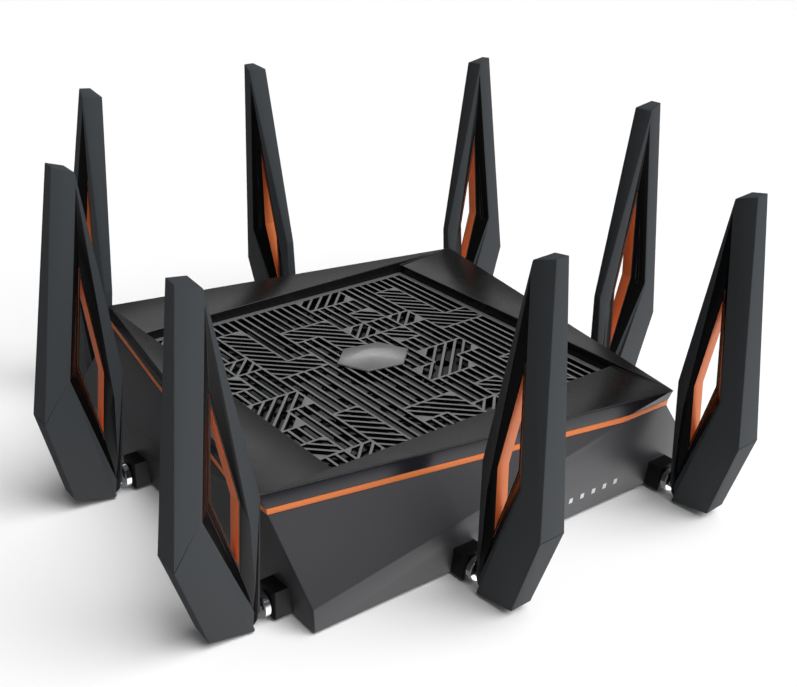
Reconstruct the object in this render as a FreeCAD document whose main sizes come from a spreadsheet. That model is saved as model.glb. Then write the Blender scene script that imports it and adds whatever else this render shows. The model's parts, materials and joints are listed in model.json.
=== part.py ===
"""Desktop wireless router: a faceted square body on a turned base, with eight blade antennas.

The origin is on the surface that the rubber feet stand on, under the middle of the body.
+Z is up and the indicator side faces -Y.  The body repeats four times round the Z axis, so each
side has a number: 0 front, 1 right, 2 back, 3 left.  A side frame has X pointing out of the wall,
Y along the wall and Z up.
"""
import FreeCAD, Part
import itertools
import math
import os

import Sketcher
from FreeCAD import Placement, Rotation, Vector

SIDES = ("front", "right", "back", "left")
UP = Vector(0, 0, 1)

# alias: value in millimetres, or degrees where the name says so
SIZES = {
    # body outline; a negative half width is inside the foot of the wall (base_half), and a
    # negative height is below the rim, here and in every group below
    "rim_half": -7.5, "rim_height": 65.0, "outline_half": -6.5,
    "base_half": 127.5, "base_turn_deg": 9.8, "wall_lean_deg": 7.0,
    "base_bottom": 1.5, "crease_height": 16.5, "strip_bottom": -11.6, "strip_top": -8.2,
    "band_top": -1.0, "opening_short": -50.5, "opening_height": -2.7,
    # walls and covers
    "shell_wall": 2.5, "strip_wall": 4.0, "band_wall": 3.0, "cover_bottom": -4.5,
    "skirt_wall": 2.0, "skirt_bottom": -13.5, "fit_gap": 0.2,
    "grille_top": -8.0, "grille_thick": 1.6, "tray_top": -11.4, "tray_thick": 1.6,
    "slot_width": 3.7, "rib_width": 1.6, "cell_count": 11.0, "tray_vent": 9.0,
    "badge_radius": 23.0, "badge_rise": 3.6, "badge_edge": 1.2, "badge_ridge": 5.0,
    # base plate, feet and screws
    "plate_thick": 2.0, "plate_vent_length": 60.0, "plate_vent_width": 3.0,
    "plate_vent_pitch": 8.0, "plate_vent_count": 12.0,
    "foot_radius": 8.0, "foot_height": 2.2, "foot_sink": 0.7, "foot_spread": -29.5,
    "screw_spread": -9.5, "screw_radius": 1.5, "screw_head": 2.9, "boss_radius": 5.0,
    "boss_top": 10.5, "head_depth": 1.2, "screw_length": 8.0,
    # main board and what stands on it
    "board_half": -15.5, "board_bottom": 5.6, "board_thick": 1.6, "post_radius": 3.2,
    "post_spread": -39.5, "board_screw_radius": 1.4, "board_screw_head": 2.7,
    "chip_height": 2.2, "sink_length": 104.0, "sink_width": 84.0, "sink_base": 3.0,
    "fin_height": 18.0, "fin_thick": 1.5, "fin_pitch": 7.5, "fin_count": 12.0,
    "can_length": 46.0, "can_width": 34.0, "can_height": 3.2,
    # sockets at the back
    "jack_depth": 18.0, "jack_face": 1.9, "jack_width": 14.5, "jack_height": 13.5,
    "plug_width": 11.8, "plug_height": 8.4, "plug_depth": 12.5, "plug_floor": 2.0,
    "lan_count": 4.0, "lan_first": 30.0, "wan_along": 10.0,
    "usb_width": 14.5, "usb_height": 7.4, "usb_mouth_width": 12.4, "usb_mouth_height": 5.0,
    "usb_depth": 10.0, "usb_tongue": 1.9, "usb_first": -101.0, "usb_pitch": 18.0,
    "inlet_width": 10.0, "inlet_height": 11.0, "inlet_hole": 3.2, "inlet_pin": 1.0,
    "inlet_along": -10.0, "port_gap": 0.3,
    # push buttons: width along the wall, height, travel
    "key_width": 8.0, "key_height": 5.0, "key_proud": 1.6, "key_depth": 6.0,
    "key_gap": 0.35, "key_level": 13.0, "key_corner": 0.8,
    "power_along": -25.0, "reset_along": -64.0, "pairing_along": 10.0, "radio_along": 30.0,
    "reset_width": 3.6, "reset_proud": -0.6,
    # indicator windows in the front wall
    "lens_count": 8.0, "lens_first": 10.2, "lens_pitch": 8.53, "lens_width": 2.6,
    "lens_height": 3.2, "lens_level": 13.2, "lens_depth": 4.5, "led_board_height": 8.0,
    "led_board_thick": 1.2,
    # antenna mounts
    "arm_low_along": -39.8, "arm_high_along": 102.6, "arm_width": 13.0, "arm_top": 17.0,
    "arm_reach": 11.0, "arm_edge": 1.5, "axis_height": 8.7,
    "barrel_radius": 3.1, "barrel_inner": -8.0, "barrel_outer": 14.2, "nut_radius": 5.0,
    "nut_thick": 2.4, "turn_gap": 0.05,
    "collar_radius": 6.6, "collar_length": 3.8, "collar_gap": 0.3,
    "tongue_thick": 4.0, "tongue_height": 6.8, "tongue_radius": 4.2, "pin_radius": 1.5,
    "pin_length": 7.0, "pivot_reach": 22.5, "blade_gap": 0.35,
    # antenna blade, in a side frame whose X starts at the blade's inner face
    "blade_tip": 189.0, "tip_inner": 29.0, "tip_outer": 39.7, "tip_drop": 3.0,
    "kink_outer": 45.5, "kink_height": 54.8, "foot_outer": 28.4, "foot_lift": 5.0,
    "foot_inner": 4.6, "blade_bottom": 1.6, "strut_kink": 73.7, "pivot_in": 6.5,
    "crease_out": 33.6, "crease_up": 78.5,
    "tip_outer_half": 3.5, "tip_inner_half": 6.3, "crease_half": 9.4, "kink_half": 7.4,
    "foot_half": 6.4, "strut_half": 2.5,
    "window_top": 137.0, "window_top_out": 25.6, "window_bend": 82.0, "window_bend_out": 26.1,
    "window_bottom": 36.0, "window_inner": 10.8, "window_inner_bend": 76.0, "window_half": 3.4,
    "bevel_outer": 42.0, "bevel_lower": 38.0, "bevel_inner": 6.0, "bevel_upper": 22.0,
    "lining_wall": 0.8, "lining_half": 3.6, "seam_gap": 0.0, "blade_wall": 2.2,
}

# how each antenna leans at rest, in degrees: along the wall, then away from the wall
LEANS = {
    "front_low": (-2.4, 1.4), "front_high": (-5.1, 0.0),
    "right_low": (1.4, -0.7), "right_high": (6.4, 0.9),
    "back_low": (-0.1, 3.9), "back_high": (-5.6, -2.3),
    "left_low": (1.7, -4.9), "left_high": (5.7, 0.9),
}

doc = FreeCAD.newDocument("router")
sheet = doc.addObject("Spreadsheet::Sheet", "sizes")


def fill_sheet():
    """Write every size into the sheet, one row each, with its alias."""
    for row, (alias, value) in enumerate(SIZES.items(), start=1):
        sheet.set(f"A{row}", alias)
        sheet.set(f"B{row}", str(value))
        sheet.setAlias(f"B{row}", alias)
    row = len(SIZES) + 1
    for name, leans in LEANS.items():
        for kind, value in zip(("side_lean", "out_lean"), leans):
            sheet.set(f"A{row}", f"{name}_{kind}")
            sheet.set(f"B{row}", str(value))
            sheet.setAlias(f"B{row}", f"{name}_{kind}")
            row += 1
    doc.recompute()


def size(alias):
    """Read one size from the sheet."""
    return float(sheet.get(alias))


def from_wall(alias):
    """A distance from the middle, given in the sheet as measured from the foot of the wall."""
    return size("base_half") + size(alias)


def from_rim(alias):
    """A height, given in the sheet as measured from the rim."""
    return size("rim_height") + size(alias)


# ---------------------------------------------------------------- helpers

def side_frame(side):
    """Placement of a side frame: X out of that wall, Y along it."""
    return Placement(Vector(), Rotation(UP, size("base_turn_deg") - 90 + 90 * side))


def turned(point, side):
    """A point of the front side, carried round to another side."""
    return Rotation(UP, 90 * side).multVec(point)


def convex_solid(planes):
    """The solid inside a list of planes, each a pair (outward normal, point on it)."""
    sides = [(normal.normalize(), normal.dot(point)) for normal, point in planes]
    corners = []
    for (n1, d1), (n2, d2), (n3, d3) in itertools.combinations(sides, 3):
        det = n1.dot(n2.cross(n3))
        if abs(det) < 1e-6:
            continue
        corner = (n2.cross(n3) * d1 + n3.cross(n1) * d2 + n1.cross(n2) * d3) * (1 / det)
        inside = all(n.dot(corner) <= d + 1e-6 for n, d in sides)
        if inside and all((corner - other).Length > 1e-5 for other in corners):
            corners.append(corner)
    faces = []
    for normal, distance in sides:
        ring = [c for c in corners if abs(normal.dot(c) - distance) < 1e-5]
        if len(ring) < 3:
            continue
        middle = sum(ring, Vector()) * (1 / len(ring))
        across = (ring[0] - middle).normalize()
        other = normal.cross(across)
        ring.sort(key=lambda c: math.atan2((c - middle).dot(other), (c - middle).dot(across)))
        faces.append(Part.Face(Part.makePolygon(ring + ring[:1])))
    return Part.Solid(Part.Shell(faces))


def prism(points, low, high):
    """A flat outline of (x, y) points, raised from z=low to z=high."""
    ring = [Vector(x, y, low) for x, y in points]
    return Part.Face(Part.makePolygon(ring + ring[:1])).extrude(Vector(0, 0, high - low))


def blade_prism(points, half):
    """An outline of (out, up) points, made 2*half thick across the blade."""
    ring = [Vector(out, -half, up) for out, up in points]
    return Part.Face(Part.makePolygon(ring + ring[:1])).extrude(Vector(0, 2 * half, 0))


def inset(points, distance):
    """An outline moved inwards by a distance; negative moves it outwards."""
    area = sum(a[0] * b[1] - b[0] * a[1] for a, b in zip(points, points[1:] + points[:1]))
    turn = 1 if area > 0 else -1
    lines = []
    for (x0, y0), (x1, y1) in zip(points, points[1:] + points[:1]):
        length = math.hypot(x1 - x0, y1 - y0)
        nx, ny = -turn * (y1 - y0) / length, turn * (x1 - x0) / length
        lines.append((nx, ny, nx * x0 + ny * y0 + distance))
    moved = []
    for (ax, ay, ad), (bx, by, bd) in zip(lines[-1:] + lines[:-1], lines):
        det = ax * by - bx * ay
        moved.append(((ad * by - bd * ay) / det, (ax * bd - bx * ad) / det))
    return moved


def centred_box(out_low, out_high, along, width, low, high):
    """A box in a side frame, centred on a place along the wall."""
    return Part.makeBox(out_high - out_low, width, high - low,
                        Vector(out_low, along - width / 2, low))


def rod(radius, start, direction, length):
    return Part.makeCylinder(radius, length, start, direction)


def placed(shape, placement):
    """A copy of a shape carried along by a placement."""
    copy = shape.copy()
    copy.Placement = placement.multiply(copy.Placement)
    return copy


def add_part(label, shape, placement=None):
    """A named sub-part whose shape is worked out from the sheet."""
    part = doc.addObject("Part::Feature", label)
    part.Label = label
    part.Shape = shape
    if placement is not None:
        part.Placement = placement.multiply(shape.Placement)
    SUB_PARTS.append(part)
    return part


SUB_PARTS = []

fill_sheet()

# ---------------------------------------------------------------- body outline

TURN = Rotation(UP, size("base_turn_deg") - 90)
LEAN = math.tan(math.radians(size("wall_lean_deg")))


def wall_at(height):
    """Distance of the outer wall from the middle at a height."""
    return size("base_half") + LEAN * height


def wall_planes(offset=0.0):
    """The four leaning walls of the turned base, moved inwards by offset."""
    planes = []
    for side in range(4):
        out = turned(TURN.multVec(Vector(1, 0, 0)), side)
        planes.append((out - UP * LEAN, out * (size("base_half") - offset)))
    return planes


def shoulder_planes(offset=0.0):
    """The four sloping facets between the crease and the accent strip."""
    out = TURN.multVec(Vector(1, 0, 0))
    along = TURN.multVec(Vector(0, 1, 0))
    reach = wall_at(size("crease_height"))
    corner = (out - along) * reach + UP * size("crease_height")
    edge = Vector(0, -from_wall("outline_half"), from_rim("strip_bottom"))
    slope = corner - edge
    normal = Vector(0, slope.z, -slope.y)
    if normal.z < 0:
        normal = normal * -1
    normal.normalize()
    return [(turned(normal, side), turned(edge - normal * offset, side)) for side in range(4)]


def square_planes(half):
    """The four upright walls of the square above the strip."""
    return [(turned(Vector(0, -1, 0), side), turned(Vector(0, -half, 0), side)) for side in range(4)]


def floor_and_top(low, high):
    return [(Vector(0, 0, -1), Vector(0, 0, low)), (Vector(0, 0, 1), Vector(0, 0, high))]


def square_outline(half):
    return [(-half, -half), (half, -half), (half, half), (-half, half)]


def turned_outline(half):
    """A square outline turned like the base."""
    angle = math.radians(size("base_turn_deg"))
    c, s = math.cos(angle), math.sin(angle)
    return [(c * x - s * y, s * x + c * y) for x, y in square_outline(half)]


def opening_outline():
    """The opening in the top: each of its edges points at a corner of the rim."""
    half, short = from_wall("rim_half"), from_wall("opening_short")
    long = math.sqrt(2 * half * short - short * short)
    return [(-short, -long), (long, -short), (short, long), (-long, short)]


# ---------------------------------------------------------------- lower shell

def arm(along):
    """One antenna arm: a block that stands out of the wall, with a bore for the barrel."""
    block = centred_box(size("base_half") - size("shell_wall") / 2, from_wall("arm_reach"), along,
                        size("arm_width"), size("base_bottom"), size("arm_top"))
    outer = [e for e in block.Edges if abs(e.CenterOfMass.x - from_wall("arm_reach")) < 0.01]
    return block.makeChamfer(size("arm_edge"), outer)


def arm_places():
    return {"low": size("arm_low_along"), "high": size("arm_high_along")}


def port_cutters():
    """Holes in the walls for sockets and buttons, as (side, solid in the side frame)."""
    gap = size("port_gap")
    inner = size("base_half") - 4 * size("shell_wall")
    outer = wall_at(size("arm_top")) + 5
    base = size("board_bottom") + size("board_thick")
    cutters = []
    lan_width = size("lan_count") * size("jack_width")
    lan_middle = size("lan_first") + (lan_width - size("jack_width")) / 2
    for along, width, height in (
            (lan_middle, lan_width, size("jack_height")),
            (size("wan_along"), size("jack_width"), size("jack_height")),
            (size("inlet_along"), size("inlet_width"), size("inlet_height")),
            (size("usb_first"), size("usb_width"), size("usb_height")),
            (size("usb_first") + size("usb_pitch"), size("usb_width"), size("usb_height"))):
        cutters.append((2, centred_box(inner, outer, along, width + 2 * gap,
                                       base - gap, base + height + gap)))
    for side, along, width in key_places().values():
        gap = size("key_gap")
        level = size("key_level")
        cutters.append((side, centred_box(inner, outer, along, width + 2 * gap,
                                          level - size("key_height") / 2 - gap,
                                          level + size("key_height") / 2 + gap)))
    return cutters


def key_places():
    """Buttons: name -> (side, place along the wall, width)."""
    return {
        "power_button": (2, size("power_along"), size("key_width")),
        "reset_button": (2, size("reset_along"), size("reset_width")),
        "pairing_button": (1, size("pairing_along"), size("key_width")),
        "radio_button": (1, size("radio_along"), size("key_width")),
    }


def lens_placement(index):
    """Where one indicator window sits, square to the leaning front wall."""
    along = size("lens_first") + index * size("lens_pitch")
    level = size("lens_level")
    local = Placement(Vector(wall_at(level), along, level),
                      Rotation(Vector(0, 1, 0), size("wall_lean_deg")))
    return side_frame(0).multiply(local)


def lens_block(grow=0.0, extra=0.0):
    width, height = size("lens_width") + 2 * grow, size("lens_height") + 2 * grow
    depth = size("lens_depth") + extra
    return Part.makeBox(depth, width, height, Vector(extra - depth, -width / 2, -height / 2))


def make_lower_shell():
    outer = convex_solid(wall_planes() + shoulder_planes()
                         + floor_and_top(size("base_bottom"), from_rim("strip_bottom")))
    wall = size("shell_wall")
    inner = convex_solid(wall_planes(wall) + shoulder_planes(wall)
                         + floor_and_top(-10, size("rim_height")))
    shell = outer.cut(inner)
    boss_floor = size("base_bottom") + size("plate_thick")
    bosses = []
    for side in range(4):
        frame = side_frame(side)
        spread = from_wall("screw_spread")
        boss = rod(size("boss_radius"), Vector(spread, spread, boss_floor), UP,
                   size("boss_top") - boss_floor)
        rib = Part.makeBox(size("base_half") - wall / 2 - spread, size("boss_radius"),
                           size("boss_top") - boss_floor,
                           Vector(spread, spread - size("boss_radius") / 2, boss_floor))
        bosses.append(placed(boss.fuse(rib), frame))
        for along in arm_places().values():
            bosses.append(placed(arm(along), frame))
    shell = shell.fuse(bosses)
    holes = []
    for side in range(4):
        frame = side_frame(side)
        spread = from_wall("screw_spread")
        pilot = rod(size("screw_radius"), Vector(spread, spread, 0), UP, size("boss_top"))
        holes.append(placed(pilot, frame))
        for along in arm_places().values():
            start = Vector(from_wall("barrel_inner"), along, size("axis_height"))
            bore = rod(size("barrel_radius") + size("turn_gap"), start, Vector(1, 0, 0),
                       from_wall("arm_reach") - from_wall("barrel_inner") + 1)
            holes.append(placed(bore, frame))
    for side, cutter in port_cutters():
        holes.append(placed(cutter, side_frame(side)))
    for index in range(int(size("lens_count"))):
        holes.append(placed(lens_block(size("turn_gap"), 3), lens_placement(index)))
    return add_part("lower_shell", shell.cut(holes).removeSplitter())


# ---------------------------------------------------------------- strip, band and top cover

def make_accent_strip():
    ring = convex_solid(wall_planes() + square_planes(from_wall("outline_half"))
                        + floor_and_top(from_rim("strip_bottom"), from_rim("strip_top")))
    hole = prism(square_outline(from_wall("outline_half") - size("strip_wall")), 0, 100)
    inner = convex_solid(wall_planes(size("strip_wall")) + floor_and_top(0, 100))
    return add_part("accent_strip", ring.cut(hole.common(inner)))


def band_planes():
    """The black band: it narrows from the strip's eight-cornered outline to the square rim."""
    low, high = from_rim("strip_top"), size("rim_height")
    outline, rim = from_wall("outline_half"), from_wall("rim_half")
    out = TURN.multVec(Vector(1, 0, 0))
    reach = wall_at(low)
    bend = Vector((reach + out.y * outline) / out.x, -outline, low)
    end = Vector(outline, (reach - out.x * outline) / out.y, low)
    rim_corner = Vector(rim, -rim, high)
    normal = (end - bend).cross(rim_corner - bend)
    if normal.x < 0:
        normal = normal * -1
    planes = []
    for side in range(4):
        planes.append((turned(Vector(0, low - high, outline - rim), side),
                       turned(Vector(0, -rim, high), side)))
        planes.append((turned(normal, side), turned(bend, side)))
    return planes


def make_band_and_cover():
    band_block = convex_solid(band_planes() + floor_and_top(from_rim("strip_top"), from_rim("band_top")))
    hole = prism(square_outline(from_wall("outline_half") - size("band_wall")), 0, 100)
    inner = convex_solid(wall_planes(size("band_wall")) + floor_and_top(0, 100))
    void = hole.common(inner)
    add_part("gloss_band", band_block.cut(void))

    rim, height = from_wall("rim_half"), size("rim_height")
    opening = opening_outline()
    low = from_rim("cover_bottom")
    facets = []
    for side in range(4):
        start = turned(Vector(-rim, -rim, height), side)
        end = turned(Vector(rim, -rim, height), side)
        corner = Vector(opening[(side + 1) % 4][0], opening[(side + 1) % 4][1],
                        from_rim("opening_height"))
        walls = prism([(p.x, p.y) for p in (start, end, corner)], low, height + 1)
        normal = (end - start).cross(corner - start)
        above = convex_solid([(normal * -1, start)] + square_planes(2 * rim)
                             + [(UP, Vector(0, 0, 3 * height))])
        facets.append(walls.cut(above))
    cover = facets[0].fuse(facets[1:])
    outside = prism(square_outline(2 * rim), 0, from_rim("band_top")).cut(void)
    skirt = prism(inset(opening, -size("skirt_wall")), from_rim("skirt_bottom"), low + 0.5)
    skirt = skirt.cut(prism(opening, 0, 100))
    return add_part("top_cover", cover.cut(outside).fuse(skirt).removeSplitter())


# ---------------------------------------------------------------- grille, tray and badge

def slant(column, row):
    """The angle that the slots of one cell of the grille run at, in the grille's own axes."""
    return (90, -45, 90, 45, 90, -45, 90)[(3 * column * column + 5 * row * row + column * row) % 7]


def slot_windows(cell, count, angle):
    """The cells whose slots run at one angle, each kept clear of cells whose slots don't."""
    edge = size("rib_width") / 2
    windows = []
    for column, row in itertools.product(range(count), repeat=2):
        if slant(column, row) != angle:
            continue
        gaps = []
        for x, y in ((column - 1, row), (column + 1, row), (column, row - 1), (column, row + 1)):
            inside = 0 <= x < count and 0 <= y < count
            gaps.append(-0.1 if inside and slant(x, y) == angle else edge)
        left, right, low, high = gaps
        corner = Vector((column - count / 2) * cell + left, (row - count / 2) * cell + low, -1)
        windows.append(Part.makeBox(cell - left - right, cell - low - high, 2, corner))
    return windows[0].fuse(windows[1:])


def grille_slots(cell, count):
    """Every slot of the grille, in the grille's own axes. Straight slots fill a cell exactly."""
    rib, reach = size("rib_width"), cell * count
    pitch = size("slot_width") + rib
    across = max(1, round(cell / pitch)) * count
    layouts = {90: (reach / across, [index + 0.5 for index in range(-across, across)])}
    for angle in (-45, 45):
        bars = int(reach / pitch)
        layouts[angle] = (pitch, list(range(-bars, bars + 1)))
    slots = []
    for angle, (step, places) in layouts.items():
        windows = slot_windows(cell, count, angle)
        shift = reach / 2 if angle == 90 else 0
        width = step - rib
        for place in places:
            bar = Part.makeBox(2 * reach, width, 2,
                               Vector(-reach, place * step + shift - width / 2, -1))
            bar.rotate(Vector(), UP, angle)
            slots += [piece for piece in bar.common(windows).Solids
                      if piece.Volume > 3 * width ** 2]
    return slots


def make_grille():
    top, thick = from_rim("grille_top"), size("grille_thick")
    outline = inset(opening_outline(), size("fit_gap"))
    plate = prism(outline, top - thick, top)
    border = inset(outline, 2 * size("rib_width"))
    (x0, y0), (x1, y1) = border[0], border[1]
    count = int(size("cell_count"))
    cell = math.hypot(x1 - x0, y1 - y0) / count
    place = Placement(Vector(0, 0, top - thick / 2),
                      Rotation(UP, math.degrees(math.atan2(y1 - y0, x1 - x0))))
    slots = [placed(slot, place) for slot in grille_slots(cell, count)]
    add_part("vent_grille", plate.cut(Part.makeCompound(slots)))

    tray_outline = inset(opening_outline(), size("fit_gap"))
    tray_top, tray_thick = from_rim("tray_top"), size("tray_thick")
    tray = prism(tray_outline, tray_top - tray_thick, tray_top)
    vents = []
    vent = size("tray_vent")
    reach = int(from_wall("opening_short") / (2 * vent))
    for column in range(-reach, reach + 1):
        for row in range(-reach, reach + 1):
            vents.append(rod(vent / 2, Vector(column * 2 * vent, row * 2 * vent, 0), UP, 100))
    rim = prism(tray_outline, tray_top, top - thick)
    rim = rim.cut(prism(inset(tray_outline, size("skirt_wall")), 0, 100))
    add_part("grille_tray", tray.cut(Part.makeCompound(vents)).fuse(rim))


def make_badge():
    """A plain six-sided shield with a raised ridge, seated on the grille."""
    radius, rise, edge = size("badge_radius"), size("badge_rise"), size("badge_edge")
    low = from_rim("grille_top")
    ring = [Vector(radius * math.cos(a), 0.8 * radius * math.sin(a), low)
            for a in (math.radians(60 * index) for index in range(6))]
    planes = [(Vector(0, 0, -1), Vector(0, 0, low))]
    for start, end in zip(ring, ring[1:] + ring[:1]):
        out = (end - start).cross(UP).normalize()
        planes.append((out, start))
        planes.append((out * (rise - edge) + UP * (out.dot(start) - size("badge_ridge")),
                       start + UP * edge))
    planes.append((UP, Vector(0, 0, low + rise)))
    return add_part("badge", convex_solid(planes))


# ---------------------------------------------------------------- PartDesign helpers

def new_body(label):
    body = doc.addObject("PartDesign::Body", label)
    body.Label = label
    SUB_PARTS.append(body)
    return body


def origin_plane(body, role):
    return next(f for f in body.Origin.OriginFeatures if f.Role == role)


def new_sketch(body, name, role="XY_Plane", offset=None):
    """A sketch on one of the body's own planes, lifted by an expression if one is given."""
    sketch = body.newObject("Sketcher::SketchObject", name)
    sketch.AttachmentSupport = [(origin_plane(body, role), "")]
    sketch.MapMode = "FlatFace"
    if offset is not None:
        sketch.setExpression("AttachmentOffset.Base.z", offset)
    return sketch


def add_rectangle(sketch, left, bottom, right, top):
    """A rectangle whose four sides sit at signed distances given as expressions."""
    first = sketch.GeometryCount
    corners = [Vector(-10, -5, 0), Vector(10, -5, 0), Vector(10, 5, 0), Vector(-10, 5, 0)]
    for start, end in zip(corners, corners[1:] + corners[:1]):
        sketch.addGeometry(Part.LineSegment(start, end), False)
    for index in range(4):
        sketch.addConstraint(Sketcher.Constraint("Coincident", first + index, 2,
                                                 first + (index + 1) % 4, 1))
    for index in range(4):
        kind = "Horizontal" if index % 2 == 0 else "Vertical"
        sketch.addConstraint(Sketcher.Constraint(kind, first + index))
    for kind, vertex, place in (("DistanceX", 0, left), ("DistanceY", 0, bottom),
                                ("DistanceX", 2, right), ("DistanceY", 2, top)):
        start = {"DistanceX": -10.0, "DistanceY": -5.0}[kind] * (1 if vertex == 0 else -1)
        number = sketch.addConstraint(Sketcher.Constraint(kind, -1, 1, first + vertex, 1, start))
        sketch.setExpression(f"Constraints[{number}]", place)


def add_circle(sketch, x, y, radius):
    """A circle whose centre and radius are given as expressions."""
    number = sketch.addGeometry(Part.Circle(Vector(5, 5, 0), UP, 2), False)
    for kind, target, start in (("DistanceX", x, 5.0), ("DistanceY", y, 5.0)):
        constraint = sketch.addConstraint(Sketcher.Constraint(kind, -1, 1, number, 3, start))
        sketch.setExpression(f"Constraints[{constraint}]", target)
    constraint = sketch.addConstraint(Sketcher.Constraint("Radius", number, 2.0))
    sketch.setExpression(f"Constraints[{constraint}]", radius)


def pad(body, sketch, name, length):
    feature = body.newObject("PartDesign::Pad", name)
    feature.Profile = sketch
    feature.setExpression("Length", length)
    doc.recompute()
    return feature


def pocket_through(body, sketch, name):
    """A pocket cut right through upwards from the sketch."""
    feature = body.newObject("PartDesign::Pocket", name)
    feature.Profile = sketch
    feature.Type = 1
    feature.Midplane = True
    doc.recompute()
    return feature


def repeat(body, feature, name, direction, length, count):
    """A row of copies of a feature; length is the whole row."""
    pattern = body.newObject("PartDesign::LinearPattern", name)
    pattern.Originals = [feature]
    pattern.Direction = direction
    pattern.setExpression("Length", length)
    pattern.setExpression("Occurrences", count)
    body.Tip = pattern
    doc.recompute()
    return pattern


def turn_with_base(body):
    body.Placement = Placement(Vector(), Rotation(UP, size("base_turn_deg")))


# ---------------------------------------------------------------- base plate, feet, screws

def corner_places():
    """Expressions for how far screws, board posts and feet are from the middle."""
    return ("(sizes.base_half + sizes.screw_spread)", "(sizes.base_half + sizes.post_spread)",
            "(sizes.base_half + sizes.foot_spread)")


def make_base_plate():
    body = new_body("base_plate")
    screw, post, foot = corner_places()
    outline = new_sketch(body, "plate_outline", offset="sizes.base_bottom")
    reach = "(sizes.base_half - sizes.shell_wall - sizes.fit_gap)"
    add_rectangle(outline, f"-{reach}", f"-{reach}", reach, reach)
    pad(body, outline, "plate", "sizes.plate_thick")

    posts = new_sketch(body, "post_outline", offset="sizes.base_bottom + sizes.plate_thick")
    for x, y in itertools.product((-1, 1), repeat=2):
        add_circle(posts, f"{x} * {post}", f"{y} * {post}",
                   "sizes.post_radius")
    pad(body, posts, "posts",
        "sizes.board_bottom - sizes.base_bottom - sizes.plate_thick")

    holes = new_sketch(body, "screw_holes")
    for x, y in itertools.product((-1, 1), repeat=2):
        add_circle(holes, f"{x} * {screw}", f"{y} * {screw}",
                   "sizes.screw_radius + sizes.fit_gap")
        add_circle(holes, f"{x} * {post}", f"{y} * {post}",
                   "sizes.board_screw_radius")
    pocket_through(body, holes, "screw_hole_pocket")

    sinks = new_sketch(body, "foot_sinks", offset="sizes.base_bottom")
    for x, y in itertools.product((-1, 1), repeat=2):
        add_circle(sinks, f"{x} * {foot}", f"{y} * {foot}",
                   "sizes.foot_radius + sizes.fit_gap")
        add_circle(sinks, f"{x} * {screw}", f"{y} * {screw}",
                   "sizes.screw_head + sizes.fit_gap")
    sink = body.newObject("PartDesign::Pocket", "foot_sink_pocket")
    sink.Profile = sinks
    sink.Reversed = True
    sink.setExpression("Length", "sizes.foot_sink")
    doc.recompute()

    vents = new_sketch(body, "vent_outline")
    half_row = "(sizes.plate_vent_pitch * (sizes.plate_vent_count - 1) / 2)"
    add_rectangle(vents, "-sizes.plate_vent_length / 2", f"-{half_row}",
                  "sizes.plate_vent_length / 2", f"sizes.plate_vent_width - {half_row}")
    vent = pocket_through(body, vents, "vent")
    repeat(body, vent, "vent_row", (vents, ["V_Axis"]), f"2 * {half_row}",
           "sizes.plate_vent_count")
    turn_with_base(body)


def ring_of(label, solids, placement):
    return add_part(label, Part.makeCompound(solids), placement)


def corner_points(spread):
    return [Vector(x * spread, y * spread, 0) for x, y in itertools.product((-1, 1), repeat=2)]


def make_feet_and_screws():
    turn = Placement(Vector(), Rotation(UP, size("base_turn_deg")))
    feet = []
    for point in corner_points(from_wall("foot_spread")):
        foot = rod(size("foot_radius"), point, UP, size("foot_height"))
        rim = [e for e in foot.Edges if e.Closed and e.CenterOfMass.z < 0.01]
        feet.append(foot.makeFillet(0.6, rim))
    ring_of("rubber_feet", feet, turn)

    top = size("base_bottom") + size("foot_sink")
    screws = []
    for point in corner_points(from_wall("screw_spread")):
        head = rod(size("screw_head"), point + UP * (top - size("foot_sink") + 0.1), UP,
                   size("foot_sink") - 0.1)
        shank = rod(size("screw_radius"), point + UP * top, UP,
                    size("boss_top") - top - 0.5)
        cross = Part.makeBox(2 * size("screw_radius"), 0.6, 0.4,
                             point + Vector(-size("screw_radius"), -0.3, size("base_bottom")))
        screws.append(head.fuse(shank).cut(cross))
    ring_of("base_screws", screws, turn)

    top = size("board_bottom") + size("board_thick")
    screws = []
    for point in corner_points(from_wall("post_spread")):
        head = rod(size("board_screw_head"), point + UP * top, UP, size("head_depth"))
        shank = rod(size("board_screw_radius"), point + UP * (size("base_bottom") + 0.3), UP,
                    top - size("base_bottom") - 0.3)
        screws.append(head.fuse(shank))
    ring_of("board_screws", screws, turn)


# ---------------------------------------------------------------- board, heat sink and cans

def make_main_board():
    body = new_body("main_board")
    screw, post, _ = corner_places()
    outline = new_sketch(body, "board_outline", offset="sizes.board_bottom")
    half = "(sizes.base_half + sizes.board_half)"
    add_rectangle(outline, f"-{half}", f"-{half}", half, half)
    pad(body, outline, "board", "sizes.board_thick")
    holes = new_sketch(body, "board_holes")
    for x, y in itertools.product((-1, 1), repeat=2):
        add_circle(holes, f"{x} * {post}", f"{y} * {post}",
                   "sizes.board_screw_radius + sizes.fit_gap")
        add_circle(holes, f"{x} * {screw}", f"{y} * {screw}",
                   "sizes.boss_radius + 3")
    pocket_through(body, holes, "board_hole_pocket")
    turn_with_base(body)


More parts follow.
